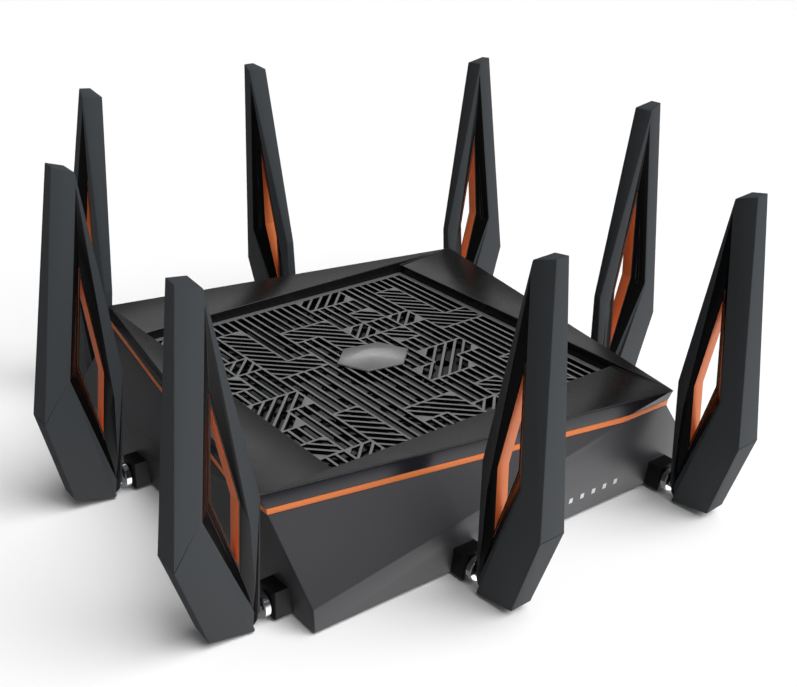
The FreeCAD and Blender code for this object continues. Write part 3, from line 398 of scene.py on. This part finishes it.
class Finish(Enum):
    """Every finish on the router."""

    # The second colour of each finish is its painted edge highlight.
    BODY = MouldedPlastic("satin_body", (0.0045, 0.0046, 0.005), (0.05, 0.05, 0.052),
                          (0.26, 0.32), grain_scale=2200.0, grain_depth=0.008 * MM,
                          specular=0.33)
    # painted shade: the arms under the cover get a darker, less glossy black than the walls
    ARM = MouldedPlastic("arm_painted_shade", (0.003, 0.003, 0.003), (0.012, 0.012, 0.012),
                         (0.35, 0.42), specular=0.25)
    TOP = MouldedPlastic("satin_top", (0.0045, 0.0045, 0.0048), (0.08, 0.08, 0.082),
                         (0.25, 0.3), grain_scale=2500.0, grain_depth=0.006 * MM,
                         specular=0.33)
    GLOSS = MouldedPlastic("gloss_black", (0.002, 0.002, 0.0022), (0.015, 0.015, 0.015),
                           (0.1, 0.15), grain_scale=300.0, grain_depth=0.004 * MM,
                           specular=0.3)
    # painted shade: near black for grille slot walls, the grille tray, antenna window recesses
    # and lining rims
    RECESS = MouldedPlastic("recess_painted_shade", (0.0015, 0.0015, 0.0016), (0.01, 0.01, 0.01),
                            (0.2, 0.26), grain_scale=300.0, grain_depth=0.003 * MM,
                            specular=0.2)
    ANTENNA = MouldedPlastic("antenna_plastic", (0.0028, 0.0036, 0.0043),
                             (0.035, 0.04, 0.043), (0.42, 0.48), grain_scale=1300.0,
                             grain_depth=0.02 * MM, specular=0.15)
    BASE = MouldedPlastic("base_plastic", (0.003, 0.003, 0.0032), (0.01, 0.01, 0.01),
                          (0.5, 0.6), specular=0.2)
    KEY = MouldedPlastic("key_plastic", (0.02, 0.02, 0.021), (0.08, 0.08, 0.08), (0.35, 0.42))
    SOCKET = MouldedPlastic("socket_black", (0.005, 0.005, 0.005), (0.02, 0.02, 0.02),
                            (0.3, 0.4))
    SOCKET_BLUE = MouldedPlastic("socket_blue", (0.01, 0.07, 0.28), (0.05, 0.15, 0.4),
                                 (0.3, 0.4))
    RUBBER = MouldedPlastic("rubber_foot", (0.012, 0.012, 0.012), (0.03, 0.03, 0.03),
                            (0.75, 0.85), grain_scale=900.0, grain_depth=0.04 * MM,
                            specular=0.3)
    CHIP = MouldedPlastic("chip_black", (0.008, 0.008, 0.008), (0.03, 0.03, 0.03),
                          (0.55, 0.65))
    LENS = MouldedPlastic("lens_frosted", (0.012, 0.012, 0.013), (0.05, 0.05, 0.052), (0.15, 0.2),
                          grain_depth=0.003 * MM, coat=0.5)
    GRILLE = MouldedPlastic("grille_grey", (0.036, 0.036, 0.037), (0.18, 0.18, 0.185),
                            (0.28, 0.34), grain_scale=2500.0, grain_depth=0.006 * MM)
    ACCENT = Metal("copper_accent", (0.86, 0.21, 0.06), (0.98, 0.5, 0.28), (0.3, 0.4),
                   metallic=0.3, coat=0.25)
    SILVER = Metal("satin_silver", (0.62, 0.62, 0.63), (0.9, 0.9, 0.92), (0.26, 0.34))
    BRIGHT = Metal("bright_metal", (0.72, 0.72, 0.73), (0.9, 0.9, 0.9), (0.08, 0.14))
    STEEL = Metal("screw_steel", (0.3, 0.3, 0.31), (0.6, 0.6, 0.6), (0.3, 0.4))
    TINNED = Metal("tinned_steel", (0.55, 0.55, 0.53), (0.75, 0.75, 0.75), (0.3, 0.42))
    ALUMINIUM = Metal("heatsink_aluminium", (0.55, 0.55, 0.57), (0.8, 0.8, 0.8), (0.35, 0.45))
    GOLD = Metal("contact_gold", (0.9, 0.6, 0.2), (1.0, 0.8, 0.4), (0.15, 0.22))
    BOARD = BoardLaminate()

    def material(self) -> bpy.types.Material:
        """The node material of this finish, built once."""
        return bpy.data.materials.get(self.value.name) or self.value.build()


def dress(piece: bpy.types.Object, *finishes: Finish) -> None:
    """Give a piece its finishes, one for each material number of its faces.

    Args:
        piece: The object that is dressed.
        finishes: Its finishes, in the order of the material numbers.
    """
    if len(finishes) == 1:
        piece.data.materials.clear()
    for finish in finishes:
        piece.data.materials.append(finish.material())


# ---------------------------------------------------------------- mesh helpers

@dataclass(frozen=True)
class Rounding:
    """How the edges of a moulding are rounded."""

    width: float = 0.35 * MM
    segments: int = 2
    shortest: float = 6 * MM
    sharpest: float = math.radians(12)


def clean_copy(*sources: bpy.types.Mesh) -> bmesh.types.BMesh:
    """Copy meshes into one bmesh.

    Args:
        sources: The meshes, left as they are.

    Returns:
        The copy, with its flat faces still in triangles.
    """
    work = bmesh.new()
    for source in sources:
        work.from_mesh(source)
    bmesh.ops.remove_doubles(work, verts=work.verts, dist=WELD_REACH)
    return work


def flatten(work: bmesh.types.BMesh) -> None:
    """Join the triangles of each flat face.

    Args:
        work: The mesh, changed in place.
    """
    bmesh.ops.dissolve_limit(work, angle_limit=FLAT_ANGLE, verts=work.verts,
                             edges=work.edges)
    work.faces.ensure_lookup_table()


def rounded_mesh(work: bmesh.types.BMesh, name: str, rounding: Rounding) -> bpy.types.Mesh:
    """Round the long edges of a mesh.

    Args:
        work: The flattened mesh, freed afterwards.
        name: Name of the new mesh.
        rounding: Which edges are rounded, and by how much.

    Returns:
        The new mesh.
    """
    layer = work.edges.layers.float.new("bevel_weight_edge")
    for edge in work.edges:
        if not edge.is_manifold or edge.calc_length() < rounding.shortest:
            continue
        if edge.calc_face_angle(0.0) > rounding.sharpest:
            edge[layer] = 1.0
    mesh = bpy.data.meshes.new(name)
    work.to_mesh(mesh)
    work.free()
    holder = bpy.data.objects.new(name + "_work", mesh)
    bpy.context.scene.collection.objects.link(holder)
    bevel = holder.modifiers.new("round", "BEVEL")
    bevel.limit_method = "WEIGHT"
    bevel.width = rounding.width
    bevel.segments = rounding.segments
    bevel.use_clamp_overlap = False
    ready = holder.evaluated_get(bpy.context.evaluated_depsgraph_get())
    result = bpy.data.meshes.new_from_object(ready)
    result.name = name
    bpy.data.objects.remove(holder)
    bpy.data.meshes.remove(mesh)
    for polygon in result.polygons:
        polygon.use_smooth = True
    result.set_sharp_from_angle(angle=CREASE_ANGLE)
    return result


def link_piece(name: str, mesh: bpy.types.Mesh, body: str, slot: str,
               *finishes: Finish) -> bpy.types.Object:
    """Put a finished mesh in the scene as a piece of the router.

    Args:
        name: The piece's name.
        mesh: Its mesh, in the row frame.
        body: The body that it moves with.
        slot: The record's material slot; not used.
        finishes: What it is made of, by material number.

    Returns:
        The object.
    """
    piece = bpy.data.objects.new(name, mesh)
    bpy.context.scene.collection.objects.link(piece)
    dress(piece, *finishes)
    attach(piece, body)
    LOG.info("piece %s: %d faces on %s", name, len(mesh.polygons), body)
    return piece


def replace_rounded(node: str, body: str, finish: Finish, slot: str,
                    rounding: Rounding) -> bpy.types.Object:
    """Stand a rounded copy in the place of a CAD node.

    Args:
        node: The CAD node.
        body: The body that it belongs to.
        finish: What it is made of.
        slot: The record's material slot; not used.
        rounding: How its edges are rounded.

    Returns:
        The new piece.
    """
    work = clean_copy(frame["nodes"][node].data)
    flatten(work)
    mesh = rounded_mesh(work, node + "_moulding", rounding)
    piece = link_piece(node + "_moulding", mesh, body, slot, finish)
    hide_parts(node)
    return piece


def keep_node(node: str, finish: Finish) -> None:
    """Show a CAD node as it is, with a better material.

    Args:
        node: The CAD node.
        finish: What it is made of.
    """
    dress(frame["nodes"][node], finish)
    LOG.info("node %s: %s", node, finish.value.name)


def finished_mesh(work: bmesh.types.BMesh, name: str, sharp: float = 35.0) -> bpy.types.Mesh:
    """Turn a bmesh into a smooth-shaded mesh with outward faces.

    Args:
        work: The bmesh, freed afterwards.
        name: Name of the mesh.
        sharp: Edges above this angle in degrees stay sharp.

    Returns:
        The mesh.
    """
    bmesh.ops.recalc_face_normals(work, faces=work.faces)
    mesh = bpy.data.meshes.new(name)
    work.to_mesh(mesh)
    work.free()
    for polygon in mesh.polygons:
        polygon.use_smooth = True
    mesh.set_sharp_from_angle(angle=math.radians(sharp))
    return mesh


def add_bar(work: bmesh.types.BMesh, place: Matrix, low: Vector, high: Vector,
            bevel: float) -> None:
    """Add a box with small chamfers on all its edges.

    Args:
        work: The mesh that gets the faces.
        place: Where the box's own axes go.
        low: Lowest corner on those axes.
        high: Highest corner.
        bevel: Width of the chamfers.
    """
    middle, span = (low + high) / 2, high - low
    shape = place @ Matrix.Translation(middle) @ Matrix.Diagonal((*span, 1.0))
    made = bmesh.ops.create_cube(work, size=1.0, matrix=shape)
    edges = list({edge for vert in made["verts"] for edge in vert.link_edges})
    bmesh.ops.bevel(work, geom=edges, offset=bevel, segments=2, affect="EDGES", profile=0.5)


# ---------------------------------------------------------------- sub-assemblies

@dataclass
class SideFrame:
    """Axes of one wall of the turned base: X out of it, Y along it and Z up."""

    side: int
    turn: float = math.radians(9.8)

    def matrix(self) -> Matrix:
        """The matrix from this wall's axes to the row frame."""
        return Matrix.Rotation(self.turn + math.pi / 2 * (self.side - 1), 4, "Z")


@dataclass
class Housing:
    """The faceted lower shell, the black band and the accent strip."""

    wall_at_floor: float = 127.5 * MM
    wall_lean: float = math.radians(7)
    clear_of_wall: float = 0.4 * MM
    shell_round: Rounding = field(default_factory=lambda: Rounding(0.5 * MM, 2, 9 * MM))
    band_round: Rounding = field(default_factory=lambda: Rounding(0.35 * MM, 2, 12 * MM))
    strip_round: Rounding = field(default_factory=lambda: Rounding(0.3 * MM, 2, 12 * MM))

    def is_arm(self, point: Vector) -> bool:
        """Tell whether a point stands out of a wall, on one of the antenna arms.

        Args:
            point: A point in the row frame.

        Returns:
            True on an arm.
        """
        for side in range(4):
            local = SideFrame(side).matrix().inverted() @ point
            wall = self.wall_at_floor + math.tan(self.wall_lean) * local.z
            if local.x > wall + self.clear_of_wall:
                return True
        return False

    def lower_shell(self) -> bpy.types.Object:
        """The shell, with painted shade on its antenna arms, which get a darker, duller black
        than the walls.

        Returns:
            The piece.
        """
        work = clean_copy(frame["nodes"]["lower_shell"].data)
        flatten(work)
        for face in work.faces:
            # faces on the arms get the painted shade
            face.material_index = int(self.is_arm(face.calc_center_median()))
        mesh = rounded_mesh(work, "lower_shell_moulding", self.shell_round)
        piece = link_piece("lower_shell_moulding", mesh, "body", "satin_body", Finish.BODY,
                           Finish.ARM)
        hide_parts("lower_shell")
        return piece

    def build(self) -> None:
        """Make the three mouldings that go round the router."""
        self.lower_shell()
        replace_rounded("gloss_band", "body", Finish.GLOSS, "gloss_black", self.band_round)
        replace_rounded("accent_strip", "body", Finish.ACCENT, "copper_accent",
                        self.strip_round)


@dataclass
class TopDeck:
    """The top cover with its sunken grille, tray and badge."""

    cover_round: Rounding = field(default_factory=lambda: Rounding(0.4 * MM, 3, 12 * MM))
    grille_round: Rounding = field(
        default_factory=lambda: Rounding(0.15 * MM, 2, 3.0 * MM, math.radians(40)))
    badge_round: Rounding = field(default_factory=lambda: Rounding(0.45 * MM, 3, 2 * MM))
    face_reach: float = 0.01 * MM

    def grille(self) -> bpy.types.Object:
        """Make the grille, whose slot walls get painted shade while its ribs catch the light.

        Returns:
            The piece.
        """
        work = clean_copy(frame["nodes"]["vent_grille"].data)
        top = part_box("vent_grille")[1][2] - self.face_reach
        for face in work.faces:
            # slot walls below the top face get painted shade
            face.material_index = int(min(vert.co.z for vert in face.verts) < top)
        flatten(work)
        mesh = rounded_mesh(work, "vent_grille_moulding", self.grille_round)
        piece = link_piece("vent_grille_moulding", mesh, "body", "grille_grey",
                           Finish.GRILLE, Finish.RECESS)
        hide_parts("vent_grille")
        return piece

    def build(self) -> None:
        """Make the cover and everything that is sunk in it."""
        replace_rounded("top_cover", "body", Finish.TOP, "satin_body", self.cover_round)
        self.grille()
        replace_rounded("badge", "body", Finish.SILVER, "satin_silver", self.badge_round)
        # the tray under the grille gets painted shade
        keep_node("grille_tray", Finish.RECESS)


@dataclass
class Antenna:
    """One blade antenna: a blade with painted shade in its window recess, a lining and a swivel.
    """

    name: str
    shell_round: Rounding = field(default_factory=lambda: Rounding(0.35 * MM, 2, 4 * MM))
    lining_round: Rounding = field(default_factory=lambda: Rounding(0.15 * MM, 2, 5 * MM))
    recess_reach: float = 0.6 * MM
    seam_reach: float = 0.01 * MM
    seam_weld: float = 0.01 * MM
    rim_facing: float = 0.9

    def tilt_joint(self) -> dict[str, object]:
        """The record's entry for the hinge that tilts the blade outwards."""
        return next(j for j in frame["joints"] if j["name"] == self.name + "_tilt")

    def tilt_axis(self) -> Vector:
        """Direction across the blade."""
        return Vector(self.tilt_joint()["axis"])

    def blade(self) -> bpy.types.Object:
        """Join the two half shells, so that no seam shows, and mark the window recess for painted
        shade.

        Returns:
            The piece.
        """
        nodes = [f"antenna_{self.name}_{half}" for half in ("left_shell", "right_shell")]
        middle, across = Vector(self.tilt_joint()["pos_m"]), self.tilt_axis()
        work = clean_copy(*(frame["nodes"][node].data for node in nodes))
        seam = [face for face in work.faces
                if all(abs((vert.co - middle).dot(across)) < self.seam_reach
                       for vert in face.verts)]
        bmesh.ops.delete(work, geom=seam, context="FACES")
        bmesh.ops.remove_doubles(work, verts=work.verts, dist=self.seam_weld)
        flatten(work)
        lining = frame["nodes"][f"antenna_{self.name}_lining"].data
        rim = KDTree(len(lining.vertices))
        for vert in lining.vertices:
            rim.insert(vert.co, vert.index)
        rim.balance()
        # faces close to the lining get painted shade in the window recess
        for face in work.faces:
            near = sum(rim.find(vert.co)[2] < self.recess_reach for vert in face.verts)
            face.material_index = int(near >= 2)
        name = f"antenna_{self.name}_blade"
        mesh = rounded_mesh(work, name, self.shell_round)
        piece = link_piece(name, mesh, "blade_" + self.name, "antenna_plastic",
                           Finish.ANTENNA, Finish.RECESS)
        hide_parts(*nodes)
        return piece

    def lining(self) -> bpy.types.Object:
        """The window lining, whose narrow rims get the same painted shade as the recess round
        them.

        Returns:
            The piece.
        """
        node = f"antenna_{self.name}_lining"
        work = clean_copy(frame["nodes"][node].data)
        flatten(work)
        across = self.tilt_axis()
        # rims facing across the blade get painted shade
        for face in work.faces:
            face.material_index = int(abs(face.normal.dot(across)) > self.rim_facing)
        mesh = rounded_mesh(work, node + "_frame", self.lining_round)
        piece = link_piece(node + "_frame", mesh, "blade_" + self.name, "copper_accent",
                           Finish.ACCENT, Finish.RECESS)
        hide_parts(node)
        return piece

    def build(self) -> None:
        """Dress the antenna's four nodes."""
        self.blade()
        self.lining()
        keep_node(f"antenna_{self.name}_swivel", Finish.BRIGHT)


@dataclass
class RearPanel:
    """Sockets in the back wall, with the contacts and liners inside them.

    Places along the wall are measured from its middle, and depths from its face.
    """

    back_side: int = 2
    face: float = 129.4 * MM
    plug_depth: float = 12.5 * MM
    plug_floor: float = 9.2 * MM
    contact_pitch: float = 1.02 * MM
    contacts: int = 8
    contact_gap: float = 0.1 * MM
    contact_length: float = 7 * MM
    contact_half_width: float = 0.2 * MM
    contact_low: float = 0.3 * MM
    contact_high: float = 0.8 * MM
    contact_chamfer: float = 0.08 * MM
    bus_places: tuple[float, float] = (-101.0 * MM, -83.0 * MM)
    bus_depth: float = 10.0 * MM
    bus_mouth: float = 12.4 * MM
    liner_half_height: float = 2.5 * MM
    liner_sheet: float = 0.3 * MM
    liner_inner_gap: float = 0.1 * MM
    liner_outer_gap: float = 0.2 * MM
    liner_chamfer: float = 0.05 * MM
    network_places: tuple[float, ...] = (10 * MM, 30 * MM, 44.5 * MM, 59 * MM, 73.5 * MM)

    def network_contacts(self) -> bpy.types.Object:
        """Eight springy wires in each network socket.

        Returns:
            The piece.
        """
        work = bmesh.new()
        place = SideFrame(self.back_side).matrix()
        inner = self.face - self.plug_depth
        for middle in self.network_places:
            for index in range(self.contacts):
                along = middle + (index - (self.contacts - 1) / 2) * self.contact_pitch
                low = Vector((inner + self.contact_gap, along - self.contact_half_width,
                              self.plug_floor + self.contact_low))
                high = Vector((inner + self.contact_length, along + self.contact_half_width,
                               self.plug_floor + self.contact_high))
                add_bar(work, place, low, high, self.contact_chamfer)
        mesh = finished_mesh(work, "network_contacts")
        return link_piece("network_contacts", mesh, "body", "bright_metal", Finish.GOLD)

    def bus_liners(self) -> bpy.types.Object:
        """A folded metal liner in the mouth of each bus socket.

        Returns:
            The piece.
        """
        work = bmesh.new()
        place = SideFrame(self.back_side).matrix()
        low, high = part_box("usb_jacks")
        middle_height = (low.z + high.z) / 2
        half_height, half_width = self.liner_half_height, self.bus_mouth / 2
        half_sheet = self.liner_sheet / 2
        inner = self.face - self.bus_depth + self.liner_inner_gap
        outer = self.face - self.liner_outer_gap
        for along in self.bus_places:
            for sign in (-1, 1):
                edge = middle_height + sign * (half_height - half_sheet)
                add_bar(work, place, Vector((inner, along - half_width, edge - half_sheet)),
                        Vector((outer, along + half_width, edge + half_sheet)),
                        self.liner_chamfer)
                edge = along + sign * (half_width - half_sheet)
                add_bar(work, place,
                        Vector((inner, edge - half_sheet, middle_height - half_height)),
                        Vector((outer, edge + half_sheet, middle_height + half_height)),
                        self.liner_chamfer)
        mesh = finished_mesh(work, "bus_liners")
        return link_piece("bus_liners", mesh, "body", "tinned_steel", Finish.TINNED)

    def build(self) -> None:
        """Dress the sockets and fill them."""
        keep_node("lan_jacks", Finish.SOCKET)
        keep_node("wan_jack", Finish.SOCKET_BLUE)
        keep_node("usb_jacks", Finish.SOCKET)
        keep_node("power_inlet", Finish.SOCKET)
        self.network_contacts()
        self.bus_liners()


@dataclass
class Controls:
    """Push buttons and the row of indicator windows."""

    buttons: tuple[str, ...] = ("power_button", "reset_button", "pairing_button",
                                "radio_button")

    def build(self) -> None:
        """Dress the buttons, the windows and the lamps behind them."""
        for button in self.buttons:
            keep_node(button, Finish.KEY)
        keep_node("indicator_lenses", Finish.LENS)
        keep_node("indicator_board", Finish.BOARD)


@dataclass
class Underside:
    """Base plate, screws and rubber feet."""

    def build(self) -> None:
        """Dress what faces the table."""
        keep_node("base_plate", Finish.BASE)
        keep_node("base_screws", Finish.STEEL)
        keep_node("rubber_feet", Finish.RUBBER)


@dataclass
class Electronics:
    """The board and what stands on it."""

    def build(self) -> None:
        """Dress the inner nodes."""
        keep_node("main_board", Finish.BOARD)
        keep_node("board_screws", Finish.STEEL)
        keep_node("processor", Finish.CHIP)
        keep_node("shield_cans", Finish.TINNED)
        keep_node("heatsink", Finish.ALUMINIUM)
        keep_node("antenna_sockets", Finish.BRIGHT)


# ---------------------------------------------------------------- studio

@dataclass(frozen=True)
class SoftLight:
    """One rectangular soft box, aimed at the router."""

    name: str
    place: Point
    width: float
    height: float
    watts: float

    def build(self, target: Vector) -> None:
        """Hang the light.

        Args:
            target: The point that it faces.
        """
        data = bpy.data.lights.new(self.name, "AREA")
        data.shape = "RECTANGLE"
        data.size, data.size_y = self.width, self.height
        data.energy = self.watts
        lamp = bpy.data.objects.new(self.name, data)
        lamp.location = self.place
        lamp.rotation_euler = (target - Vector(self.place)).to_track_quat("-Z", "Y").to_euler()
        bpy.context.scene.collection.objects.link(lamp)


@dataclass
class Studio:
    """Camera, pale floor and soft light."""

    target: Vector = field(default_factory=lambda: Vector((24.76, 15.48, 54.53)) * MM)
    azimuth: float = math.radians(-28.46)
    elevation: float = math.radians(24.97)
    roll: float = math.radians(1.31)
    distance: float = 717.77 * MM
    lens: float = 54.36
    sensor_width: float = 36.0
    nearest: float = 10 * MM
    floor_size: float = 12.0
    floor_drop: float = 0.1 * MM
    floor_grey: float = 0.86
    floor_roughness: float = 0.6
    lights: tuple[SoftLight, ...] = (
        SoftLight("back_box", (1.0, 1.9, 1.5), 1.6, 0.7, 5.0),
        SoftLight("left_box", (-1.6, 0.2, 0.6), 0.7, 1.0, 0.8),
        SoftLight("right_box", (1.4, -1.1, 0.8), 0.9, 1.2, 3.5),
        SoftLight("front_box", (-0.2, -1.9, 1.5), 1.2, 0.5, 1.5),
    )
    sun_strength: float = 4.1
    sun_turn: tuple[float, float] = (math.radians(35), math.radians(30))
    sun_spread: float = math.radians(55)
    sky_above: float = 0.1
    sky_below: float = 0.16
    glow_towards: Point = (0.653, -0.484, -0.582)
    glow_strength: float = 1.5
    glow_reach: tuple[float, float] = (0.6, 1.0)
    horizon: tuple[float, float] = (-0.3, 0.1)

    def add_camera(self) -> None:
        """Place the camera from its azimuth, elevation, roll and distance."""
        level = math.cos(self.elevation)
        back = Vector((math.sin(self.azimuth) * level, -math.cos(self.azimuth) * level,
                       math.sin(self.elevation)))
        across = (-back).cross(Vector((0, 0, 1))).normalized()
        upward = across.cross(-back)
        turn = Matrix((across, upward, back)).transposed()
        roll = Matrix.Rotation(self.roll, 3, "Z")
        data = bpy.data.cameras.new("camera")
        data.lens = self.lens
        data.sensor_width = self.sensor_width
        data.clip_start = self.nearest
        camera = bpy.data.objects.new("camera", data)
        camera.matrix_world = (Matrix.Translation(self.target + back * self.distance)
                               @ (turn @ roll).to_4x4())
        bpy.context.scene.collection.objects.link(camera)
        bpy.context.scene.camera = camera

    def add_floor(self) -> None:
        """Lay a wide pale floor just under the feet."""
        work = bmesh.new()
        bmesh.ops.create_grid(work, x_segments=1, y_segments=1, size=self.floor_size / 2)
        mesh = finished_mesh(work, "floor")
        floor = bpy.data.objects.new("floor", mesh)
        floor.location.z = -self.floor_drop
        bpy.context.scene.collection.objects.link(floor)
        material = new_material("pale_floor")
        shader = material.node_tree.nodes["Principled BSDF"]
        shader.inputs["Base Color"].default_value = (*[self.floor_grey] * 3, 1.0)
        shader.inputs["Roughness"].default_value = self.floor_roughness
        mesh.materials.append(material)
        floor.visible_glossy = False
        floor.visible_shadow = False

    def add_sky(self) -> None:
        """Light the room dimly, with a soft glow low on the right for reflections."""
        world = bpy.data.worlds.new("room")
        world.use_nodes = True
        tree = world.node_tree
        place = tree.nodes.new("ShaderNodeTexCoord")
        split = tree.nodes.new("ShaderNodeSeparateXYZ")
        level = tree.nodes.new("ShaderNodeMapRange")
        glow = tree.nodes.new("ShaderNodeMapRange")
        dot = tree.nodes.new("ShaderNodeVectorMath")
        dot.operation = "DOT_PRODUCT"
        dot.inputs[1].default_value = self.glow_towards
        glow.interpolation_type = "SMOOTHSTEP"
        for node, values in ((level, (*self.horizon, self.sky_below, self.sky_above)),
                             (glow, (*self.glow_reach, 0.0, self.glow_strength))):
            names = ("From Min", "From Max", "To Min", "To Max")
            for name, value in zip(names, values):
                node.inputs[name].default_value = value
        tree.links.new(place.outputs["Generated"], split.inputs[0])
        tree.links.new(place.outputs["Generated"], dot.inputs[0])
        tree.links.new(split.outputs["Z"], level.inputs["Value"])
        tree.links.new(dot.outputs["Value"], glow.inputs["Value"])
        strength = math_node(tree, "ADD", level.outputs["Result"], glow.outputs["Result"])
        tree.links.new(strength, tree.nodes["Background"].inputs["Strength"])
        tree.nodes["Background"].inputs["Color"].default_value = WHITE
        bpy.context.scene.world = world
        bpy.context.scene.view_settings.view_transform = "Standard"

    def add_sun(self) -> None:
        """One very broad distant light, which keeps the floor pale out to the horizon."""
        data = bpy.data.lights.new("ceiling_glow", "SUN")
        data.energy = self.sun_strength
        data.angle = self.sun_spread
        lamp = bpy.data.objects.new("ceiling_glow", data)
        lamp.rotation_euler = (self.sun_turn[0], 0.0, self.sun_turn[1])
        lamp.visible_glossy = False
        bpy.context.scene.collection.objects.link(lamp)

    def build(self) -> None:
        """Set up the whole studio."""
        self.add_camera()
        self.add_floor()
        self.add_sky()
        self.add_sun()
        for light in self.lights:
            light.build(self.target)


def main() -> None:
    """Build the studio and every sub-assembly in turn."""
    logging.basicConfig(level=logging.INFO, format="%(name)s: %(message)s")
    Studio().build()
    Housing().build()
    TopDeck().build()
    for side in ("front", "right", "back", "left"):
        for level in ("low", "high"):
            Antenna(f"{side}_{level}").build()
    RearPanel().build()
    Controls().build()
    Underside().build()
    Electronics().build()


if __name__ == "__main__":
    main()
